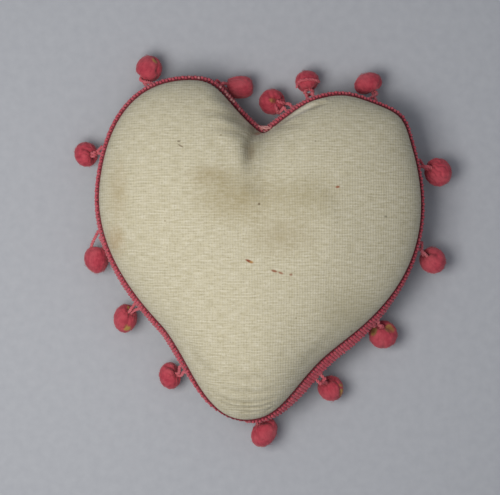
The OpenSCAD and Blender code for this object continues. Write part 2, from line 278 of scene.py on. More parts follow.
def lay_mesh(name, points, faces):
    """A new piece from its points, in millimetres, and its faces."""
    mesh = bpy.data.meshes.new(name)
    mesh.from_pydata((np.asarray(points) * 0.001).tolist(), [], faces)
    mesh.update()
    piece = bpy.data.objects.new(name, mesh)
    bpy.context.scene.collection.objects.link(piece)
    return piece


def read_points(piece):
    """A piece's points as they stand, in millimetres."""
    points = np.empty(len(piece.data.vertices) * 3)
    piece.data.vertices.foreach_get("co", points)
    return points.reshape(-1, 3) * 1000


def write_points(piece, points):
    """Moves a piece's points, given in millimetres."""
    piece.data.vertices.foreach_set("co", (points * 0.001).ravel())
    piece.data.update()


def add_modifier(piece, kind, **settings):
    """Adds a modifier to the piece, which the next operator works on alone."""
    bpy.ops.object.select_all(action="DESELECT")
    piece.select_set(True)
    bpy.context.view_layer.objects.active = piece
    bpy.ops.object.modifier_add(type=kind)
    made = piece.modifiers[-1]
    for name, value in settings.items():
        setattr(made, name, value)
    return made


# The stuffing swells the sewn case a little, so it starts slightly slack, and its seam is held.
slack = 0.985
bag_height, bag_half = seam_height + 3.2, 3.0
for point in case_points[:count]:
    bag = overhang(point) * max(0.0, 1 - ((point[2] - bag_height) / bag_half) ** 2)
    if bag > 0:
        point[:2] += bagged_out * bag * (point[:2] - middle) / np.linalg.norm(point[:2] - middle)
case_start = case_points.copy()
case_start[:, 2] = seam_height + (case_points[:, 2] - seam_height) * slack
case = lay_mesh("stuffed_case", case_start, case_faces)
held = case.vertex_groups.new(name="seam")
held.add([int(i) for i in front_rim], 1.0, "REPLACE")
cloth = add_modifier(case, "CLOTH")
cloth.collision_settings.use_collision = False
cloth.settings.effector_weights.gravity = 0
for name, value in dict(
    quality=6, mass=0.004, tension_stiffness=12, compression_stiffness=12, shear_stiffness=4,
    bending_stiffness=0.08, vertex_group_mass="seam", shrink_min=-0.02, use_pressure=True,
    uniform_pressure_force=4,
).items():
    setattr(cloth.settings, name, value)
for moment in range(1, 21):
    bpy.context.scene.frame_set(moment)
bpy.ops.object.modifier_apply(modifier=cloth.name)
swollen = read_points(case)
bpy.data.objects.remove(case)
bpy.context.scene.frame_set(1)
# The swelling is evened out over the cloth. No point leaves its form by more than 1 mm on the
# crown and 0.12 mm elsewhere, and none goes under the table.
free_at_crown, free_elsewhere, evening_rounds = 1.0, 0.12, 30
move = swollen - case_points
sums, shares = np.zeros_like(move), np.zeros(len(move))
edges = np.array([(a, b) for face in case_faces for a, b in zip(face, face[1:] + face[:1])])
for _ in range(evening_rounds):
    sums[:], shares[:] = 0, 0
    np.add.at(sums, edges[:, 0], move[edges[:, 1]])
    np.add.at(shares, edges[:, 0], 1)
    move = 0.4 * move + 0.6 * sums / shares[:, None]
size = np.linalg.norm(move, axis=1)
above_seam = np.clip((case_points[:, 2] - seam_height) / 14, 0, 1)
limit = free_elsewhere + (free_at_crown - free_elsewhere) * above_seam
move *= (limit * np.tanh(size / limit) / np.maximum(size, 1e-9))[:, None]
case_points = case_points + move
case_points[:, 2] = np.maximum(case_points[:, 2], 0.0)

# Where the linen is pressed into folds, on the front only. Each fold is a run of plan points,
# its width, its depth, the rise of the cloth beside it, and which side rises.
folds = [
    # The deep valley that runs out of the cleft, straight down over the crown.
    ([(-2.6, 50), (-4.4, 46), (-5.0, 41), (-5.2, 35)], 2.8, 1.6, 0.2, 1),
    ([(-2.0, 51), (-3.6, 46.5)], 1.4, 0.9, 0.1, 1),
    # Soft creases that spread from the cleft over the left lobe.
    ([(-4.5, 50), (-10, 54), (-17, 56.5), (-23, 57)], 1.8, 0.40, 0.12, 1),
    ([(-5.5, 47.5), (-12, 49), (-19, 50.5)], 1.6, 0.32, 0.10, 1),
    ([(-7, 58), (-13, 62), (-20, 64)], 1.7, 0.30, 0.10, 1),
    # The tuck on the right lobe, with the bright fold above it.
    ([(6.5, 52.2), (12, 56.0), (18, 59.2), (25, 61.2)], 0.9, 1.0, 1.0, 1),
    ([(3.5, 49.8), (10, 51.5), (17, 52.5)], 1.3, 0.25, 0.08, 1),
    # The curved folds across the tip.
    ([(-19.5, -60.5), (-14, -62.6), (-8, -63.6), (-1, -63.2), (5, -61.6)], 0.55, 0.42, 0.30, -1),
    ([(-17.5, -63.0), (-12, -65.0), (-6, -65.8), (0, -65.2), (4.5, -63.8)], 0.50, 0.42, 0.30, -1),
    ([(-14.5, -65.6), (-9, -67.2), (-4, -67.6), (1, -66.8)], 0.45, 0.34, 0.26, -1),
    ([(1.0, -67.6), (3.0, -66.6), (4.8, -65.2)], 0.40, 0.45, 0.15, -1),
    ([(-16, -57.2), (-9, -58.8), (-1, -58.9), (6, -57.4)], 1.0, 0.22, 0.12, -1),
    ([(-15, -51.5), (-6, -53.0), (3, -52.2)], 1.5, 0.16, 0.08, -1),
    # Shallow ripples below the left flank and on the lower right.
    ([(-30, -40), (-26, -46), (-21, -51)], 1.6, 0.18, 0.06, 1),
    ([(16, -48), (22, -42), (29, -35)], 1.8, 0.16, 0.06, 1),
]
# Beside a fold the cloth rises at this many of its widths away, over this many widths, and
# nowhere past the last of them. From the full shade depth on, a fold gets its full painted
# shade and dirt.
rise_away, rise_width, rise_limit, full_shade_depth = 1.9, 1.1, 5, 0.45


def press_folds(points):
    """How far each point moves along its normal, and how deep in a fold it lies."""
    moved = np.zeros(len(points))
    depth_share = np.zeros(len(points))
    for line, width, depth, lift, rising_side in folds:
        line = np.array(line, float)
        length = run_along(line)
        nearest = np.full(len(points), 1e9)
        signed = np.zeros(len(points))
        share = np.zeros(len(points))
        for i in range(len(line) - 1):
            a, b = line[i], line[i + 1]
            step = b - a
            t = np.clip(((points[:, :2] - a) @ step) / (step @ step), 0, 1)
            gap = points[:, :2] - (a + t[:, None] * step)
            far = np.linalg.norm(gap, axis=1)
            closer = far < nearest
            nearest = np.where(closer, far, nearest)
            side = np.sign(step[0] * gap[:, 1] - step[1] * gap[:, 0])
            signed = np.where(closer, far * side, signed)
            share = np.where(closer, (length[i] + t * (length[i + 1] - length[i])) / length[-1], share)
        fade = np.sin(np.pi * np.clip(0.12 + 0.76 * share, 0, 1)) ** 0.8
        dip = np.exp(-(nearest / width) ** 2)
        ridge = np.exp(-((signed * rising_side / width - rise_away) / rise_width) ** 2)
        ridge *= nearest < rise_limit * width
        moved += fade * (lift * ridge - depth * dip)
        depth_share = np.maximum(depth_share, fade * dip * min(1, depth / full_shade_depth))
    return moved, depth_share


def flat_cloth(points):
    """Where each point lay on the flat cloth before it was sewn: its bearing from the middle,
    and the length of thread to it over the crown."""
    plan = points[:, :2] - middle
    plan_reach = np.linalg.norm(plan, axis=1)
    rise = np.abs(points[:, 2] - points[:, 2].max())
    length = np.sqrt(plan_reach ** 2 + 0.35 * rise ** 2 * np.clip(plan_reach / 20, 0, 1))
    return middle + plan / np.maximum(plan_reach, 1e-6)[:, None] * length[:, None]


def cut_panel(name, points, faces, subdivisions):
    """One sewn panel, with its place on the flat cloth as its map, divided finer."""
    piece = lay_mesh(name, points, faces)
    thread_map = piece.data.uv_layers.new(name="thread_map")
    flat = flat_cloth(points) * 0.001
    corners = np.empty(len(piece.data.loops), int)
    piece.data.loops.foreach_get("vertex_index", corners)
    thread_map.data.foreach_set("uv", flat[corners].ravel())
    finer = add_modifier(piece, "SUBSURF", levels=subdivisions, render_levels=subdivisions)
    bpy.ops.object.modifier_apply(modifier=finer.name)
    bpy.ops.object.shade_smooth()
    return piece


def normals_of(piece):
    """The way that the surface faces at each point."""
    normals = np.empty(len(piece.data.vertices) * 3)
    piece.data.vertex_normals.foreach_get("vector", normals)
    return normals.reshape(-1, 3)


def store_share(piece, name, values):
    """Gives each point of a piece a share from 0 to 1, which its material reads by name."""
    layer = piece.data.attributes.new(name, "FLOAT", "POINT")
    layer.data.foreach_set("value", np.asarray(values, np.float32))


def give_thickness(piece, thickness):
    """Gives a panel the thickness of its cloth, inwards, in metres."""
    wall = add_modifier(piece, "SOLIDIFY", thickness=thickness, offset=-1)
    bpy.ops.object.modifier_apply(modifier=wall.name)


def thread_waves(material, cloth_place, pitch):
    """Ridges of thread along each way of a cloth, a pitch in metres apart."""
    split = add_node(material, "SeparateXYZ", {0: cloth_place})
    waves = []
    for way in ("X", "Y"):
        turn = add_node(material, "Math", {0: split.outputs[way], 1: 2 * math.pi / pitch},
                        operation="MULTIPLY")
        waves.append(add_node(material, "Math", {0: turn}, operation="SINE"))
    return waves


# Linen: unbleached flax in a plain weave of uneven hand-spun threads, drawn 1.1 mm apart so that
# they show. Slubs run along the weft as short pale and dark streaks.
linen, shader = new_material("unbleached_linen_plain_weave")
flat = add_node(linen, "UVMap", {}, uv_map="thread_map")
wander = add_node(linen, "TexNoise", {"Vector": flat, "Scale": 90.0, "Detail": 1.0})
swerve = add_node(linen, "VectorMath", {0: wander.outputs["Color"], 1: (0.0011, 0.0011, 0)},
                  operation="MULTIPLY")
drawn = add_node(linen, "VectorMath", {0: flat, 1: swerve}, operation="ADD")
waves = thread_waves(linen, drawn, 0.0011)
grid = add_node(linen, "Math", {0: waves[0], 1: waves[1]}, operation="ADD")
weave = add_node(linen, "Math", {0: grid, 1: 0.5}, operation="MULTIPLY")
streaks = []
for scale in [(210, 1500, 1), (1500, 300, 1)]:
    stretched = add_node(linen, "VectorMath", {0: flat, 1: scale}, operation="MULTIPLY")
    streaks.append(add_node(linen, "TexNoise", {"Vector": stretched, "Scale": 1.0, "Detail": 3.0}))
weft_tone = add_node(linen, "MapRange", {0: streaks[0], 1: 0.30, 2: 0.70})
warp_tone = add_node(linen, "MapRange", {0: streaks[1], 1: 0.40, 2: 0.66, 3: 0.0, 4: 0.6})
uneven = add_node(linen, "TexNoise", {"Vector": flat, "Scale": 850.0, "Detail": 3.0})
gap_depth = add_node(linen, "MapRange", {0: uneven, 1: 0.40, 2: 0.72, 3: 0.04, 4: 0.62})
hollow = add_node(linen, "MapRange", {0: weave, 1: -1.0, 2: 0.6, 3: 1.0, 4: 0.0})
hollow = add_node(linen, "Math", {0: hollow, 1: gap_depth}, operation="MULTIPLY")
tone = "#bbb498"
for share, colour in [(weft_tone, "#dfdac6"), (warp_tone, "#cfc8ab"), (hollow, "#958c6c")]:
    tone = add_node(linen, "Mix", {0: share, 6: tone, 7: colour}, data_type="RGBA")
# Age: a broad yellow-brown bloom over the crown, tan near the left flank and grey handling dirt;
# last comes a patch of painted shade in the crease at the cleft. All of it is on the front, which
# lies upwards, so the cloth below the seam keeps its clean tone.
clean = tone
spot = add_node(linen, "TexCoord", {})
cloud = add_node(linen, "TexNoise", {"Vector": spot.outputs["Object"], "Scale": 330.0, "Detail": 8.0,
                                     "Roughness": 0.8})
blooms_and_cleft_shade = [
    ((-10, 22), (32, 20), 0, "#98885a", 0.50), ((-22, 31), (15, 8), 0, "#94804f", 0.40),
    ((8, 6), (24, 15), 0, "#998961", 0.34), ((-62, 3), (9, 13), 0, "#ab8a58", 0.55),
    ((-60, 24), (8, 24), 0, "#a99468", 0.40), ((-5, 41), (4.5, 7.5), 0, "#75614a", 0.55),
    ((36, -26), (24, 20), 0, "#a09877", 0.35), ((18, 22), (22, 16), 0, "#9d9166", 0.40),
    # Painted shade: a near-black patch in the crease where the cloth is drawn in at the cleft.
    ((-2.8, 51), (5.5, 5), 0, "#3d2f28", 0.9),
]
# Rust from old pins, short streaks and dots, and last a painted highlight on the turned cloth above the
# tuck, where the fold stands up into the light.
marks_and_highlight = [
    ((-5.3, -4.6), (2.2, 0.7), -25, "#8a3f22", 0.95), ((-4.4, -4.9), (1.05, 0.65), 0, "#c09a5a", 0.6),
    ((4.9, -8.6), (1.7, 0.65), -15, "#8f4a2a", 0.85), ((7.6, -9.4), (1.45, 0.6), -20, "#94502f", 0.75),
    ((11.8, -10.1), (0.9, 0.65), 0, "#8d5335", 0.7), ((31.1, 26.0), (1.15, 0.65), 10, "#9a4a26", 0.85),
    ((-1.3, 18.9), (0.65, 0.65), 0, "#5f4a30", 0.75), ((-34.4, 44.9), (0.9, 0.5), 0, "#5f4c33", 0.7),
    ((-33.6, 43.0), (1.8, 0.45), -30, "#6a5335", 0.65), ((51.2, 13.9), (0.8, 0.65), 0, "#6f6a55", 0.6),
    ((37.4, -34.0), (0.8, 0.65), 0, "#6f6a55", 0.6), ((-1.7, 48.7), (1.8, 0.9), 10, "#a8604a", 0.6),
    ((-17, 47.5), (0.65, 0.5), 0, "#7d6a49", 0.5), ((-40, 12), (0.5, 0.5), 0, "#7d6a49", 0.5),
    ((22, 45), (0.5, 0.5), 0, "#7a6c4c", 0.5), ((14, -28), (0.5, 0.45), 0, "#7a6c4c", 0.5),
    # Painted highlight: a pale strip along the fold above the tuck.
    ((16, 57.8), (8.45, 1.45), 29, "#fbf5e2", 0.85),
]
for rows, tall, first, full in [(blooms_and_cleft_shade, 0.06, 0.14, 0.46), (marks_and_highlight, 0.2, 0.0, 0.55)]:
    for centre, size, turn, colour, strength in rows:
        mark_place = add_node(linen, "Mapping", {
            "Vector": spot.outputs["Object"], "Location": (centre[0] * 0.001, centre[1] * 0.001, 0.045),
            "Rotation": (0, 0, math.radians(turn)),
            "Scale": (size[0] * 0.001, size[1] * 0.001, tall)}, vector_type="TEXTURE")
        mark = add_node(linen, "TexGradient", {"Vector": mark_place}, gradient_type="SPHERICAL")
        share = mark.outputs["Fac"]
        if rows is blooms_and_cleft_shade:
            share = add_node(linen, "Math", {0: share, 1: cloud}, operation="MULTIPLY")
        amount = add_node(linen, "MapRange", {0: share, 1: first, 2: full, 3: 0.0, 4: strength})
        tone = add_node(linen, "Mix", {0: amount, 6: tone, 7: colour}, data_type="RGBA")
height = add_node(linen, "SeparateXYZ", {0: spot.outputs["Object"]})
upper = add_node(linen, "MapRange", {0: height.outputs["Z"], 1: 0.0215, 2: 0.0235})
tone = add_node(linen, "Mix", {0: upper, 6: clean, 7: tone}, data_type="RGBA")
# Painted shade with handling dirt, darkening the folds and the cloth along the seam.
shade_and_dirt = add_node(linen, "Attribute", {}, attribute_name="soil_and_shade")
shade_and_dirt_amount = add_node(linen, "Math", {0: shade_and_dirt.outputs["Fac"], 1: 0.75}, operation="MULTIPLY")
tone = add_node(linen, "Mix", {0: shade_and_dirt_amount, 6: tone, 7: "#6e6447"}, data_type="RGBA")
relief = add_node(linen, "Math", {0: weave, 1: streaks[0]}, operation="ADD")
raised = add_node(linen, "Bump", {"Height": relief, "Strength": 0.22, "Distance": 0.0003})
feed(linen, shader, {"Base Color": tone, "Normal": raised, "Roughness": 0.86, "IOR": 1.45,
                     "Sheen Weight": 0.12, "Sheen Roughness": 0.5})

cloth_front = case_points[:count]
cloth_back = case_points[[back_index[i] for i in range(len(back_points))]]
back_outward = [face[::-1] for face in back_faces]
# The folds and the cloth next to the seam, out to a few millimetres from it, are darkened:
# painted shade in the hollows of the folds and along the seam, and handling dirt there too.
fold_shade_and_dirt, seam_shade_and_dirt, shade_and_dirt_reach = 0.5, 0.35, 2.2
for name, points, faces, fineness, node, front in [
    ("linen_front", cloth_front, front_faces, 2, "front_cover", True),
    ("linen_back", cloth_back, back_outward, 1, "back_cover", False),
]:
    panel = cut_panel(name, points, faces, fineness)
    spots, normals = read_points(panel), normals_of(panel)
    if front:
        moved, deep = press_folds(spots)
        # The folds fade out over the last 5 mm above the seam, where the braid is sewn.
        rim_fade = np.clip((spots[:, 2] - seam_height) / 5, 0, 1)
        write_points(panel, spots + normals * (moved * rim_fade)[:, None])
    else:
        deep = np.zeros(len(spots))
    near_seam = np.exp(-np.abs(spots[:, 2] - seam_height) / shade_and_dirt_reach)
    store_share(panel, "soil_and_shade", np.clip(fold_shade_and_dirt * deep + seam_shade_and_dirt * near_seam, 0, 1))
    give_thickness(panel, 0.00055)
    panel.data.materials.append(linen)
    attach(panel, "cushion")
    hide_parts(node)

# Inner bag and stuffing
# A plain calico bag holds the bran and keeps it from sifting through the linen. It is stuffed
# before the cover is drawn over it, so it lies against the linen everywhere but at the seam.


def two_tone(material, shader, share, dark, light, bump, relief, roughness):
    """Makes a surface of two tones by a share, which also raises it by the relief in metres."""
    tone = add_node(material, "Mix", {0: share, 6: dark, 7: light}, data_type="RGBA")
    raised = add_node(material, "Bump", {"Height": share, "Strength": bump, "Distance": relief})
    feed(material, shader, {"Base Color": tone, "Normal": raised, "Roughness": roughness})


calico, shader = new_material("bleached_calico_plain_weave")
flat = add_node(calico, "UVMap", {}, uv_map="thread_map")
waves = thread_waves(calico, flat, 0.001)
weave = add_node(calico, "Math", {0: waves[0], 1: waves[1]}, operation="MULTIPLY")
share = add_node(calico, "MapRange", {0: weave, 1: -1.0, 2: 1.0})
two_tone(calico, shader, share, "#c9c0a4", "#e8e2cf", 0.3, 0.0004, 0.88)

# Bran: milled husk in flat flakes of about a millimetre, so its skin is grainy and mottled.
bran, shader = new_material("milled_bran_pressed")
spot = add_node(bran, "TexCoord", {})
flakes = add_node(bran, "TexVoronoi", {"Vector": spot.outputs["Object"], "Scale": 900.0})
two_tone(bran, shader, flakes.outputs["Distance"], "#c9a877", "#8a6436", 0.6, 0.0004, 0.9)


def shrink_in(piece, depth, seam_inset):
    """Draws a panel inside the linen by a depth, and by more in plan along the seam."""
    spots, normals = read_points(piece), normals_of(piece)
    moved, _ = press_folds(spots)
    moved = np.minimum(moved, 0) * np.clip((spots[:, 2] - seam_height) / 5, 0, 1)
    plan = spots[:, :2] - middle
    reach = np.linalg.norm(plan, axis=1)
    low = np.clip(1 - np.abs(spots[:, 2] - seam_height) / 9, 0, 1) ** 2
    spots = spots + normals * (moved - depth)[:, None]
    spots[:, :2] -= plan / np.maximum(reach, 1e-6)[:, None] * (low * seam_inset)[:, None]
    return spots


for name, points, faces, node in [
    ("calico_front", cloth_front, front_faces, "bag_front"),
    ("calico_back", cloth_back, back_outward, "bag_back"),
]:
    bag = cut_panel(name, points, faces, 1)
    write_points(bag, shrink_in(bag, 0.85, 5.6))
    give_thickness(bag, 0.0004)
    bag.data.materials.append(calico)
    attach(bag, "cushion")
    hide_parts(node)

filling = cut_panel("bran_filling", case_points, case_faces, 1)
write_points(filling, shrink_in(filling, 1.6, 6.4))
filling.data.materials.append(bran)
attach(filling, "cushion")
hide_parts("stuffing")

# Braid
# A narrow woollen braid: cords laid side by side across two binding warps. It is sewn along the
# seam by its inner edge, stands on edge at the sides and turns its face up at the lower right.
braid_width, braid_thickness, rib_gap, sewn_off = 5.0, 1.5, 1.33, 0.1
# Shares of the way round from the cleft, and how far the braid's face is turned down there.
leans = np.array([
    (0.00, 78), (0.06, 82), (0.24, 82), (0.33, 72), (0.42, 74), (0.47, 92), (0.505, 90), (0.53, 70),
    (0.56, 50), (0.63, 47), (0.68, 72), (0.73, 84), (0.80, 90), (0.90, 88), (0.95, 78), (1.00, 76),
])


def lean_at(s):
    """How far the braid's face is turned down: 0 lies flat and face up, 90 stands on edge."""
    return math.radians(np.interp(s / seam_length, leans[:, 0], leans[:, 1]))


def braid_spot(s, across, up):
    """A point of the braid, across its width from the seam and up from its middle."""
    lean = lean_at(s)
    hidden = overhang(seam_at(s))
    out = sewn_off + braid_thickness / 2 * math.sin(lean) + across * math.cos(lean) + up * math.sin(lean)
    out -= bagged_out * hidden
    z = seam_height - across * math.sin(lean) + up * math.cos(lean) - tucked_down * hidden
    return np.array([*(seam_at(s) + out * outward_at(s)), z])


# Dyed wool: madder red gone coral, matt and hairy, so its edges look paler than its hollows; the hollows are
# also darkened with painted shade.
def dyed_wool(name, light, dark, worn, under, map_name, strand_scale, bump):
    """A wool material whose fibres run along the second direction of a piece's own map."""
    wool, shader = new_material(name)
    flat = add_node(wool, "UVMap", {}, uv_map=map_name)
    stretched = add_node(wool, "VectorMath", {0: flat, 1: strand_scale}, operation="MULTIPLY")
    fibres = add_node(wool, "TexNoise", {"Vector": stretched, "Scale": 1.0, "Detail": 4.0,
                                         "Roughness": 0.62})
    spot = add_node(wool, "TexCoord", {})
    felt = add_node(wool, "TexNoise", {"Vector": spot.outputs["Object"], "Scale": 520.0, "Detail": 4.0})
    blotch = add_node(wool, "TexNoise", {"Vector": spot.outputs["Object"], "Scale": 120.0, "Detail": 2.0})
    mixed = add_node(wool, "Math", {0: fibres, 1: felt}, operation="ADD")
    share = add_node(wool, "MapRange", {0: mixed, 1: 0.72, 2: 1.28})
    faded = add_node(wool, "MapRange", {0: blotch, 1: 0.45, 2: 0.75, 3: 0.0, 4: 0.35})
    wear = add_node(wool, "Attribute", {}, attribute_name="wear")
    bald = add_node(wool, "Math", {0: wear.outputs["Fac"], 1: felt}, operation="MULTIPLY")
    bald = add_node(wool, "MapRange", {0: bald, 1: 0.18, 2: 0.46, 3: 0.0, 4: 0.9})
    # Painted shade: a share read from the mesh darkens the wool towards deep maroon in hollows and creases,
    # and on the braid next to the linen.
    deep = add_node(wool, "Attribute", {}, attribute_name="deep")
    shade = add_node(wool, "MapRange", {0: deep.outputs["Fac"], 1: 0.0, 2: 1.0, 3: 0.0, 4: 0.8})
    tone = dark
    for amount, colour in [(share, light), (faded, worn), (bald, under), (shade, "#571821")]:
        tone = add_node(wool, "Mix", {0: amount, 6: tone, 7: colour}, data_type="RGBA")
    raised = add_node(wool, "Bump", {"Height": mixed, "Strength": bump, "Distance": 0.0003})
    feed(wool, shader, {"Base Color": tone, "Normal": raised, "Roughness": 0.92, "Sheen Weight": 0.5,
                        "Sheen Roughness": 0.45, "Sheen Tint": "#f0b6b8", "Specular IOR Level": 0.25})
    return wool


braid_wool = dyed_wool("madder_dyed_wool_braid", "#d45e6f", "#ab3a4d", "#d6828a", "#ecc9c0",
                       "rib_map", (9, 1.3, 1), 0.5)


def along_path(path, radius, sides, twist=math.inf):
    """Rings of points round a path, which turn once in each twist mm of it."""
    path = np.asarray(path, float)
    ways = np.gradient(path, axis=0)
    ways /= np.linalg.norm(ways, axis=1)[:, None]
    turns = 2 * math.pi * run_along(path) / twist
    across = np.cross(ways[0], [0.3, 0.2, 0.93])
    rings = []
    for i, way in enumerate(ways):
        across = across - way * (across @ way)
        across /= np.linalg.norm(across)
        over = np.cross(way, across)
        size = radius[i] if np.ndim(radius) else radius
        rings.append([path[i] + size * (math.cos(a) * across + math.sin(a) * over)
                      for a in turns[i] + 2 * math.pi * np.arange(sides) / sides])
    return np.array(rings)


def tube(rings):
    """Points and faces of a closed tube through rings, with rounded-off ends, and its map."""
    turns, sides = len(rings), len(rings[0])
    ends = [rings[0].mean(0) + (rings[0].mean(0) - rings[1].mean(0)) * 0.5,
            rings[-1].mean(0) + (rings[-1].mean(0) - rings[-2].mean(0)) * 0.5]
    points = np.vstack([rings.reshape(-1, 3), ends])
    faces, corners = [], []
    for r in range(turns - 1):
        for i in range(sides):
            j = (i + 1) % sides
            faces.append((r * sides + i, r * sides + j, (r + 1) * sides + j, (r + 1) * sides + i))
            corners += [(i / sides, r), ((i + 1) / sides, r), ((i + 1) / sides, r + 1), (i / sides, r + 1)]
    last = (turns - 1) * sides
    for i in range(sides):
        j = (i + 1) % sides
        faces.append((turns * sides, j, i))
        corners += [(0.5, -1), ((i + 1) / sides, 0), (i / sides, 0)]
        faces.append((turns * sides + 1, last + i, last + j))
        corners += [(0.5, turns), (i / sides, turns - 1), ((i + 1) / sides, turns - 1)]
    return points, faces, corners


def gather(pieces):
    """Several tubes as the points, faces and map of one mesh."""
    points, faces, corners, first = [], [], [], 0
    for new_points, new_faces, new_corners in pieces:
        points.append(new_points)
        faces += [tuple(i + first for i in face) for face in new_faces]
        corners += new_corners
        first += len(new_points)
    return np.vstack(points), faces, corners


def finish_mapped(name, gathered, map_name, scale, material, wear=None, deep=None):
    """Lays one gathered mesh with its own map, and the two shares that its wool reads: wear and painted
    shade.
    """
    points, faces, corners = gathered
    piece = lay_mesh(name, points, faces)
    layer = piece.data.uv_layers.new(name=map_name)
    layer.data.foreach_set("uv", (np.array(corners, float) * scale).ravel())
    for label, values in (("wear", wear), ("deep", deep)):
        store_share(piece, label, np.zeros(len(points)) if values is None else values)
    piece.data.polygons.foreach_set("use_smooth", [True] * len(piece.data.polygons))
    piece.data.materials.append(material)
    return piece


random.seed(41)
braid_start, braid_stop = 1.8, seam_length - 1.8
rib_count = round((braid_stop - braid_start) / rib_gap)
rib_radius, rib_skew = 0.70, 0.35
ribs, rib_wear, rib_deep = [], [], []
for n in range(rib_count + 1):
    s = braid_start + (braid_stop - braid_start) * n / rib_count
    loose = random.uniform(-0.14, 0.14)
    skew = rib_skew + random.uniform(-0.08, 0.08)
    ends = (-0.2 + 0.3 * (n % 2) + loose, braid_width + 0.25 * (n % 2) - loose)
    path, size = [], []
    for t in np.linspace(0, 1, 7):
        across = ends[0] + (ends[1] - ends[0]) * t
        lift = 0.10 * math.sin(math.pi * 3 * t) + 0.30 * (n % 2) * (1 - t) + random.uniform(-0.05, 0.05)
        path.append(braid_spot(min(max(s + skew * (t - 0.5) * 2, 0.5), seam_length - 0.5), across, lift))
        size.append(rib_radius * (0.72 if t in (0, 1) else 1))
    ribs.append(tube(along_path(path, size, 7)))
    share = s / seam_length
    pale = 0.6 if 0.03 < share < 0.09 and random.random() < 0.30 else 0.0
    rib_points = ribs[-1][0]
    # Where it is worn pale, it is so on its upper edge only.
    rib_wear.append(pale * np.clip((rib_points[:, 2] - 19) / 1.5, 0, 1))
    # The side that faces the linen, out to under a millimetre from the seam, gets painted shade, as it lies
    # in the shadow of the crease.
    off_seam = (rib_points[:, :2] - seam_at(s)) @ outward_at(s)
    rib_deep.append(np.clip(1.15 - off_seam / 0.75, 0, 1))
# Two binding warps run under and over the cords, a third and two thirds of the way across.
warps = []
for across, swing in ((1.5, 0.0), (3.6, math.pi)):
    path = []
    for s in np.arange(braid_start - 1.2, braid_stop + 1.2, 0.33):
        weave_up = 0.52 * math.sin(math.pi * (s - braid_start) / rib_gap + swing)
        path.append(braid_spot(s, across, weave_up))
    warps.append(tube(along_path(path, 0.24, 5)))
# The heading, a whipped edge, fills the crease between the linen and the cords; it is coloured wholly in
# painted shade, standing in for the shadow in that crease.
heading_radius, whip_gap, heading_off, heading_height = 0.44, 1.9, 0.30, seam_height - 0.1
path = []
for s in np.arange(0.5, seam_length - 0.5, 0.3):
    whip = 2 * math.pi * s / whip_gap
    plan = seam_at(s) + (heading_off + 0.16 * math.sin(whip)) * outward_at(s)
    path.append([*plan, heading_height + 0.18 * math.cos(whip)])
heading = tube(along_path(path, heading_radius, 6))
warp_points = sum(len(p) for p, _, _ in warps)
# Painted shade: full on the ribs that face the linen, a quarter on the warps, and full on the whole heading.
braid = finish_mapped("ribbed_braid", gather(ribs + warps + [heading]), "rib_map", (1, 1), braid_wool,
                      np.concatenate(rib_wear + [np.zeros(warp_points + len(heading[0]))]),
                      np.concatenate(rib_deep + [np.full(warp_points, 0.25), np.ones(len(heading[0]))]))
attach(braid, "cushion")
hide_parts("fringe_braid")

# Binding at the cleft
# Pale pink linen thread wound close round the two ends of the braid where they meet, with three
# slack strands lying across the top.
thread, shader = new_material("waxed_linen_thread")
flat = add_node(thread, "UVMap", {}, uv_map="ply_map")
ply = add_node(thread, "TexNoise", {"Vector": flat, "Scale": 3.0, "Detail": 2.0})
two_tone(thread, shader, ply, "#b9606a", "#eab7b0", 0.4, 0.0002, 0.6)

cleft = seam_at(0) + np.array([0.7, 2.5])
wraps, wrap_radius, wrap_foot, wrap_top = 5.5, 1.25, 17.0, 21.2
wide, narrow = 1.35, 0.8
winding = []
for a in np.linspace(0, 2 * math.pi * wraps, 190):
    out = wrap_radius + 0.12 * math.sin(3 * a)
    rise = wrap_foot + (wrap_top - wrap_foot) * a / (2 * math.pi * wraps)
    winding.append([cleft[0] + wide * out * math.cos(a), cleft[1] + narrow * out * math.sin(a), rise])
strands = []
for start, top, stop in [((-2.9, 1.2), (0.2, -0.5), (2.6, 0.7)), ((-1.9, -0.4), (0.3, 0.5), (2.4, -0.1)),
                         ((-1.4, 1.1), (-0.2, 0.2), (1.1, -0.8))]:
    path = []
    for t in np.linspace(0, 1, 24):
        plan = np.array(start) * (1 - t) ** 2 + 2 * np.array(top) * t * (1 - t) + np.array(stop) * t * t
        path.append([*(cleft + plan), seam_height + 0.7 * math.sin(math.pi * t)])
    strands.append(tube(along_path(path, 0.34, 7)))
binding = finish_mapped("cleft_binding", gather([tube(along_path(winding, 0.36, 7))] + strands),
                        "ply_map", (1, 0.35), thread)
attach(binding, "cushion")
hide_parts("braid_tack")

# Hanging wool balls
# Each is coarse red wool wound over a yellowish wadding core and felted, then drawn in round
# the cord loop that it hangs on. No two are alike, so each has its own row of shape below.
loop_cord_wool = dyed_wool("twisted_wool_cord", "#d9747d", "#b5495a", "#dd979a", "#a8924a",
                           "rib_map", (3, 0.6, 1), 0.5)
ball_wool = dyed_wool("wound_and_felted_wool", "#c44e5c", "#a03244", "#cb6a72", "#a8924a",
                      "wool_map", (34, 4.0, 1), 0.55)

# Wadding: raw yellowish fleece, matted by the cord that pulls on it.
wadding, shader = new_material("matted_fleece_wadding")
spot = add_node(wadding, "TexCoord", {})
matted = add_node(wadding, "TexNoise", {"Vector": spot.outputs["Object"], "Scale": 1400.0, "Detail": 4.0})
two_tone(wadding, shader, matted, "#7d6a2c", "#cdbb6c", 0.7, 0.0004, 0.95)


def facing(bearing_deg, height_deg):
    """A direction from the middle of a ball, by its bearing in plan and its height above level."""
    a, h = math.radians(bearing_deg), math.radians(height_deg)
    return np.array([math.cos(a) * math.cos(h), math.sin(a) * math.cos(h), math.sin(h)])


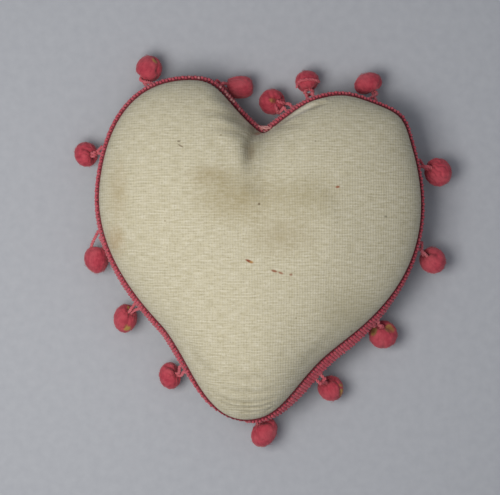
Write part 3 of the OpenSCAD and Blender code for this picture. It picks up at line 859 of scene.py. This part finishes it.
# plan: long and short width in mm and the bearing of the long one; tall: its height in mm.
# gather: bearing and height of the drawn-in hollow, its width in degrees and depth in mm.
# pleats: how many, how deep in mm, how far round the ball they reach in degrees.
# dents: bearing, height, width in degrees, depth in mm. creases: two directions, width, depth.
# worn: bearing, height and width in degrees of each patch where the wadding shows.
# legs: for each of the two legs, the directions over the ball that it lies along.
# barrel: how square the ball's ends are. band: directions along a strand that lies over the ball.
balls = {
    1: dict(plan=(11.4, 11.1, 80), tall=10.6, gather=(-128, -4, 26, 1.7), pleats=(9, 0.12, 60),
        creases=[((72, 8), (-18, 46), 9, 0.42), ((-18, 46), (-58, 5), 9, 0.36)], worn=[(51, 40, 17)],
        legs=[[(-128, 8)], [(-112, -2)]]),
    2: dict(plan=(11.7, 9.6, 5), tall=10.4, gather=(176, 6, 34, 1.2), pleats=(14, 0.16, 120),
        dents=[(-150, 10, 30, 0.7)], creases=[((150, 20), (40, 30), 8, 0.25)],
        legs=[[(165, 24)], [(-170, 20)]], barrel=3.4),
    3: dict(plan=(11.2, 10.9, 20), tall=9.6, gather=(10, 72, 22, 1.2), pleats=(9, 0.16, 60),
        dents=[(30, 20, 20, 0.7)], creases=[((120, 68), (118, 35), 8, 0.35), ((14, 60), (20, 8), 7, 0.6)],
        worn=[(60, 84, 20)], legs=[[(-8, 40), (-8, 8)], [(-60, 48), (-62, 12)]]),
    4: dict(plan=(10.6, 9.8, 10), tall=9.8, gather=(-75, 10, 34, 1.6), pleats=(7, 0.22, 60),
        dents=[(-150, 12, 26, 1.3), (-28, 12, 26, 1.3), (-95, 44, 18, 0.5)],
        creases=[((190, 20), (150, 70), 7, 0.5), ((150, 70), (20, 64), 7, 0.5)],
        legs=[[(-104, 30), (-84, 4)], [(-60, 30), (-76, 2)]],
        band=[(208, 12), (182, 44), (150, 74), (30, 72), (6, 40), (2, 8)]),
    5: dict(plan=(12.0, 9.3, 20), tall=10.4, gather=(-62, 0, 26, 1.4), pleats=(9, 0.16, 55),
        dents=[(-95, 10, 22, 0.5)], creases=[((30, 20), (-20, 34), 10, 0.25)],
        legs=[[(-66, 16)], [(-48, 12)]]),
    6: dict(plan=(12.2, 11.6, -62), tall=10.4, gather=(152, 30, 24, 1.7), pleats=(13, 0.36, 105),
        worn=[(-10, 8, 10)], legs=[[(152, 42)], [(166, 24)]]),
    7: dict(plan=(11.6, 11.0, -50), tall=10.4, gather=(140, 34, 25, 1.8), pleats=(8, 0.14, 55),
        creases=[((140, 34), (60, 62), 10, 0.5)], legs=[[(143, 44)], [(150, 28)]]),
    8: dict(plan=(12.3, 12.0, 0), tall=10.8, gather=(98, 38, 24, 1.7), pleats=(8, 0.16, 50),
        dents=[(160, 34, 22, 1.2), (48, 44, 24, 1.4)], creases=[((-90, 66), (-90, 10), 9, 0.25)],
        worn=[(158, 34, 26), (46, 42, 28)], legs=[[(112, 46), (118, 30)], [(102, 50), (122, 40)]]),
    9: dict(plan=(11.4, 10.7, -50), tall=10.3, gather=(122, 34, 34, 2.2), pleats=(8, 0.26, 62),
        dents=[(70, 30, 22, 0.8)], creases=[((60, 40), (-50, 14), 8, 0.45)],
        worn=[(-12, 28, 17), (-32, 18, 17), (16, 30, 14)], legs=[[(130, 52)], [(146, 36)]]),
    10: dict(plan=(13.4, 10.2, 58), tall=11.2, gather=(118, 10, 24, 1.3), pleats=(7, 0.2, 55),
        dents=[(100, 44, 20, 0.5)],
        creases=[((128, 22), (48, 40), 9, 0.55), ((150, 20), (-100, 60), 10, 0.2)], worn=[(-100, 10, 12)],
        legs=[[(128, 22)], [(118, 12)]]),
    11: dict(plan=(11.4, 9.4, 98), tall=9.8, gather=(18, 34, 26, 1.9), pleats=(7, 0.26, 62),
        dents=[(40, 14, 20, 0.7)], creases=[((18, 34), (110, 40), 9, 0.5)], legs=[[(20, 44)], [(4, 30)]]),
    12: dict(plan=(12.2, 10.0, 80), tall=10.2, gather=(52, 36, 26, 1.9), pleats=(8, 0.22, 60),
        dents=[(30, 26, 20, 0.7)], creases=[((60, 30), (-88, 50), 9, 0.3)],
        worn=[(-72, 42, 22), (70, 22, 14)], legs=[[(58, 46)], [(42, 30)]]),
    13: dict(plan=(12.0, 10.6, 95), tall=10.8, gather=(84, -6, 28, 1.0), pleats=(6, 0.12, 50),
        dents=[(-130, 20, 40, 0.25), (-20, 20, 40, 0.25)], worn=[(-118, 14, 9)],
        legs=[[(112, 14)], [(58, 10)]]),
    14: dict(plan=(10.7, 10.0, 120), tall=9.4, gather=(-4, 40, 28, 1.9), pleats=(9, 0.28, 75),
        dents=[(-32, 18, 22, 1.1)], creases=[((-4, 40), (120, 58), 9, 0.4)],
        legs=[[(8, 52), (14, 26)], [(-12, 48), (6, 18)]]),
}


def angle_between(ways, other):
    """Degrees from each direction to another one."""
    return np.degrees(np.arccos(np.clip(ways @ other, -1, 1)))


def arc_gap(ways, start, stop):
    """Degrees from each direction to the short arc between two directions."""
    pole = np.cross(start, stop)
    pole /= np.linalg.norm(pole)
    off = 90 - angle_between(ways, pole)
    flat = ways - np.outer(ways @ pole, pole)
    flat /= np.maximum(np.linalg.norm(flat, axis=1), 1e-6)[:, None]
    inside = (np.cross(np.tile(start, (len(ways), 1)), flat) @ pole >= 0) & \
             (np.cross(flat, np.tile(stop, (len(ways), 1))) @ pole >= 0)
    ends = np.minimum(angle_between(ways, start), angle_between(ways, stop))
    return np.where(inside, np.abs(off), ends)


# How finely a ball is meshed, from its hollow to the far side and round.
ball_turns, ball_sides = 72, 112


def shape_ball(number, form, centre):
    """A ball as points and faces. It starts as a round blank whose pole is the drawn-in hollow."""
    top = facing(*form["gather"][:2])
    side = np.cross(top, [0.13, 0.27, 0.95])
    side /= np.linalg.norm(side)
    ahead = np.cross(top, side)
    rings = []
    for a in math.pi * np.arange(1, ball_turns) / ball_turns:
        rings.append([math.cos(a) * top + math.sin(a) * (math.cos(b) * side + math.sin(b) * ahead)
                      for b in 2 * math.pi * np.arange(ball_sides) / ball_sides])
    ways, faces, corners = tube(np.array(rings))
    ways /= np.linalg.norm(ways, axis=1)[:, None]
    # These rings run the other way round than a tube's, so each face is turned over.
    faces, corners = [face[::-1] for face in faces[::-1]], corners[::-1]

    long, short, turn = form["plan"]
    major = facing(turn, 0)
    minor = facing(turn + 90, 0)
    points = (np.outer(ways @ major, major) * long / 2 + np.outer(ways @ minor, minor) * short / 2
              + np.outer(ways[:, 2], [0, 0, 1]) * form["tall"] / 2)
    if "barrel" in form:
        # Flattened ends: the round blank is pushed out towards a drum along its long way.
        power = form["barrel"]
        end_on = np.abs(ways @ major)
        girth = np.sqrt(np.maximum(1 - end_on ** 2, 0))
        points *= ((end_on ** power + girth ** power) ** (-1 / power))[:, None] ** 0.8
    radial = points / np.linalg.norm(points, axis=1)[:, None]
    sink, deep, worn = np.zeros((3, len(ways)))
    # The wool is drawn in at the hollow and folds towards it.
    away = angle_between(ways, top)
    width, depth = form["gather"][2:]
    sink += depth * np.exp(-(away / width) ** 2)
    # Painted shade: the wool is darkened in the drawn-in hollow, between the pleats, in the dents and along
    # the creases.
    deep += np.exp(-(away / (0.62 * width)) ** 2) * 0.95
    count, fold, reach = form["pleats"]
    around_top = np.arctan2(ways @ ahead, ways @ side)
    wobble = np.array([noise.noise(Vector(w * 2.1) + Vector((number * 3.7, 0, 0))) for w in ways])
    pleat = (1 - np.abs(np.sin(count / 2 * around_top + 2.6 * wobble + number))) ** 2.2
    fades = np.exp(-(away / reach) ** 2) * np.clip(away / 14, 0, 1)
    sink += fold * pleat * fades * 1.6
    deep += pleat ** 2 * fades * min(1, fold * 2.2)
    for bearing_deg, height_deg, size, depth in form.get("dents", []):
        close = np.exp(-(angle_between(ways, facing(bearing_deg, height_deg)) / size) ** 2)
        sink += depth * close
        deep += 0.7 * close ** 2 * min(1, depth)
    for start, stop, size, depth in form.get("creases", []):
        gap = arc_gap(ways, facing(*start), facing(*stop)) + 5 * wobble
        sink += depth * np.exp(-(gap / size) ** 2)
        deep += 0.85 * np.exp(-(gap / (0.55 * size)) ** 2) * min(1, depth * 1.6)
    for bearing_deg, height_deg, size in form.get("worn", []):
        worn = np.maximum(worn, np.exp(-(angle_between(ways, facing(bearing_deg, height_deg)) / size) ** 2))
    lumps = np.array([noise.noise(Vector(w * 3.4) + Vector((0, number * 5.1, 0))) for w in ways])
    lumps += 0.5 * np.array([noise.noise(Vector(w * 8.5) + Vector((number * 2.3, 0, 4))) for w in ways])
    points = points - radial * (sink - 0.20 * lumps)[:, None] + centre
    return points, faces, corners, worn, np.clip(deep, 0, 1), radial


def rounded_path(knots, spacing):
    """A smooth path through a few points, with even steps."""
    knots = [np.asarray(k, float) for k in knots]
    padded = [2 * knots[0] - knots[1]] + knots + [2 * knots[-1] - knots[-2]]
    line = []
    for p0, p1, p2, p3 in zip(padded, padded[1:], padded[2:], padded[3:]):
        for t in np.arange(12) / 12:
            line.append(0.5 * (2 * p1 + (p2 - p0) * t + (2 * p0 - 5 * p1 + 4 * p2 - p3) * t * t
                               + (3 * p1 - p0 - 3 * p2 + p3) * t ** 3))
    line.append(knots[-1])
    line = np.array(line)
    run = run_along(line)
    steps = np.arange(0, run[-1], spacing)
    return np.array([[np.interp(s, run, line[:, i]) for i in range(3)] for s in steps])


def twisted_cord(path, ply_radius, lay_radius):
    """Two plies laid round each other along a path, one turn in each cord_twist mm."""
    plies = along_path(path, lay_radius, 2, cord_twist)
    return [tube(along_path(plies[:, n], ply_radius, 7)) for n in (0, 1)]


# The loop's cord: the radius of a ply and of its lay, the length of one turn and of a mesh step.
ply_radius, lay_radius, cord_twist, step = 0.40, 0.34, 2.6, 0.24
# How far a foot is sewn in from the braid's edge, and how far it stands from its hinge's middle.
foot_depth, foot_apart = 1.6, 1.4
fibre_count, core_radius = 170, 2.6
hinges = {j["name"]: j for j in frame["joints"]}
edge_steps = np.arange(0.5, seam_length - 0.5, 0.25)
edge_line = np.array([braid_spot(s, braid_width, 0) for s in edge_steps])
still_feet = []
for number, form in balls.items():
    tag = f"{number:02d}"
    body = f"hanging_ball_{tag}"
    low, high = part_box(f"core_{tag}")
    centre = np.array((low + high) / 2) * 1000
    hinge = hinges[f"ball_{tag}_swing"]
    foot = np.array(hinge["pos_m"]) * 1000
    foot_way = np.array(hinge["axis"])
    foot_way /= np.linalg.norm(foot_way)

    points, faces, corners, worn, deep, radial = shape_ball(number, form, centre)
    # Loose fibres stand off the felted wool all over, a few of them long and curled.
    random.seed(100 + number)
    fuzz = []
    for _ in range(fibre_count):
        at = random.randrange(len(points) - 2)
        way = Vector(radial[at])
        drift = Vector((random.gauss(0, 1), random.gauss(0, 1), random.gauss(0, 1)))
        drift = (drift - way * drift.dot(way)).normalized()
        length = random.uniform(0.4, 1.1) if random.random() < 0.85 else random.uniform(1.1, 1.6)
        start = Vector(points[at]) - way * 0.15
        path = [start + way * (length * 0.55 * t ** 0.8) + drift * (length * 0.9 * t * t + 0.1 * length * t)
                for t in (0, 0.35, 0.7, 1)]
        fuzz.append(tube(along_path(path, np.array([0.05, 0.045, 0.035, 0.02]), 3)))
    fuzz_points = sum(len(p) for p, _, _ in fuzz)
    gathered = gather([(points, faces, corners)] + [(p, f, [(0.2, 36)] * len(c)) for p, f, c in fuzz])
    ball = finish_mapped(f"wool_ball_{tag}", gathered, "wool_map", (1, 1 / ball_turns), ball_wool,
                         np.concatenate([worn, np.zeros(fuzz_points)]),
                         np.concatenate([deep, np.zeros(fuzz_points)]))
    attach(ball, body)
    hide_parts(f"ball_{tag}")

    # The matted core keeps its packed size; its surface is lumpy where the fleece is drawn tight.
    bpy.ops.object.select_all(action="DESELECT")
    bpy.ops.mesh.primitive_ico_sphere_add(subdivisions=4, radius=core_radius * 0.001,
                                          location=tuple(centre * 0.001))
    core = bpy.context.object
    core.name = f"wadding_core_{tag}"
    bpy.ops.object.transform_apply(location=True, rotation=False, scale=False)
    spots = read_points(core)
    rays = (spots - centre) / core_radius
    bumps = np.array([noise.noise(Vector(r * 4) + Vector((number, 0, 0))) for r in rays])
    write_points(core, spots + rays * (0.16 * bumps)[:, None])
    bpy.ops.object.shade_smooth()
    core.data.materials.append(wadding)
    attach(core, body)
    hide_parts(f"core_{tag}")

    # One length of cord: from its first foot over the ball, round inside the core and back.
    top = facing(*form["gather"][:2])
    half = np.array([form["plan"][0] / 2, form["plan"][1] / 2, form["tall"] / 2]).mean()
    legs = []
    for sign, over in zip((1, -1), form["legs"]):
        start = foot + sign * foot_apart * foot_way
        edge_s = edge_steps[np.argmin(np.linalg.norm(edge_line - start, axis=1))]
        # The foot itself is sewn down, so it stays with the braid, and the loop bends at its end.
        inner, edge = braid_spot(edge_s, braid_width - foot_depth, 0), braid_spot(edge_s, braid_width, 0)
        sewn = [inner, braid_spot(edge_s, braid_width, 0.2), start, start + 0.2 * (start - edge)]
        still_feet += twisted_cord(rounded_path(sewn, step), ply_radius, lay_radius)
        via = [centre + facing(*spot) * (half + 0.35) for spot in over]
        neck = centre + top * 2.4 + 0.5 * sign * foot_way
        legs.append([start] + via[::-1] + [neck])
    bend = centre + top * 0.9
    route = legs[0] + [bend] + legs[1][::-1]
    cords = twisted_cord(rounded_path(route, step), ply_radius, lay_radius)
    if "band" in form:
        lying = [centre + facing(*spot) * (half + 0.15) for spot in form["band"]]
        cords += twisted_cord(rounded_path(lying, step), 0.36, 0.30)
    cord = finish_mapped(f"cord_loop_{tag}", gather(cords), "rib_map", (1, step), loop_cord_wool)
    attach(cord, body)
    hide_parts(f"loop_{tag}")

feet = finish_mapped("loop_feet", gather(still_feet), "rib_map", (1, step), loop_cord_wool)
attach(feet, "cushion")

# Picture settings
# The view stays plain.
bpy.context.scene.view_settings.view_transform = "Standard"
